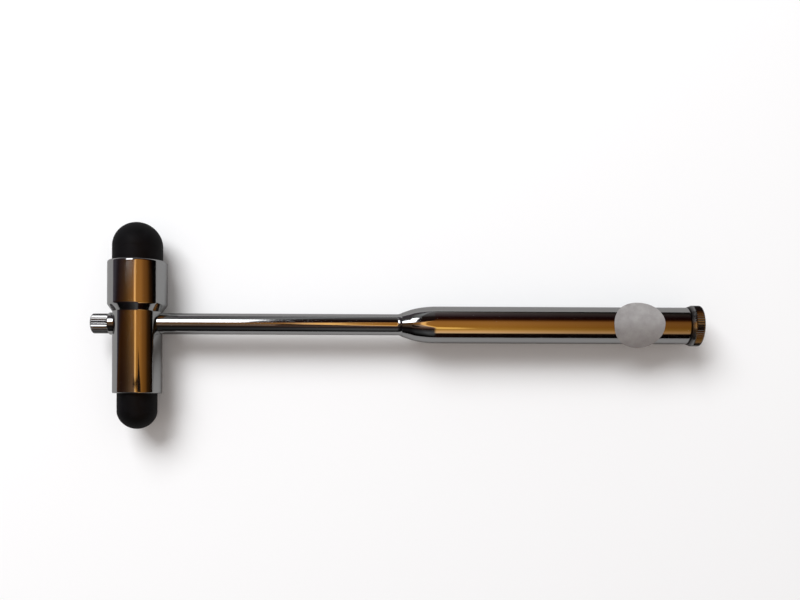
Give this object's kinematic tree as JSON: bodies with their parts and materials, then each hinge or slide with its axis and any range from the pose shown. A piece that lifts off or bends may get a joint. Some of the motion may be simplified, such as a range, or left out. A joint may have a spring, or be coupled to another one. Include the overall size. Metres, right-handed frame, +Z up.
{
  "type": "reflex hammer",
  "caption": "Reflex hammer with large and small domed rubber tips, slim shaft and thick grip, and a needle and a brush that unscrew from head and grip.",
  "frame": {"origin": "middle of the part's box at its lowest level, under the large section of the head", "axes": "+X along the handle towards the cap, +Y along the head towards the large tip, +Z up from the surface that the hammer lies on"},
  "size_m": [0.1838, 0.0626, 0.0176],
  "materials": {
    "chrome_plate": "polished",
    "tip_rubber": "matte",
    "needle_steel": "satin",
    "bristle_nylon": "satin",
    "label_paper": "matte"
  },
  "bodies": {
    "hammer": {"head_body": "chrome_plate", "large_rubber_tip": "tip_rubber", "small_rubber_tip": "tip_rubber", "shaft": "chrome_plate", "grip": "chrome_plate", "blank_label": "label_paper"},
    "needle": {"needle": "needle_steel"},
    "knob": {"needle_knob": "chrome_plate"},
    "brush": {"brush_tuft": "bristle_nylon"},
    "cap": {"brush_cap": "chrome_plate"}
  },
  "joints": [
    {"name": "needle_draw", "type": "slide", "parent": "hammer", "child": "needle", "axis": [-1, 0, 0], "range_m": [0, 0.029]},
    {"name": "needle_turn", "type": "hinge", "parent": "needle", "child": "knob", "pos_m": [-0.08478, 0.0006, 0.0088], "axis": [-1, 0, 0], "range_deg": [0, 14915]},
    {"name": "brush_draw", "type": "slide", "parent": "hammer", "child": "brush", "axis": [1, 0, 0], "range_m": [0, 0.029]},
    {"name": "brush_turn", "type": "hinge", "parent": "brush", "child": "cap", "pos_m": [0.08804, 0.0006, 0.0088], "axis": [1, 0, 0], "range_deg": [0, 13921]}
  ],
  "couplings": [
    {"joint": "needle_turn", "follows": "needle_draw", "rad_per_m": 8976},
    {"joint": "brush_turn", "follows": "brush_draw", "rad_per_m": 8377.6}
  ]
}
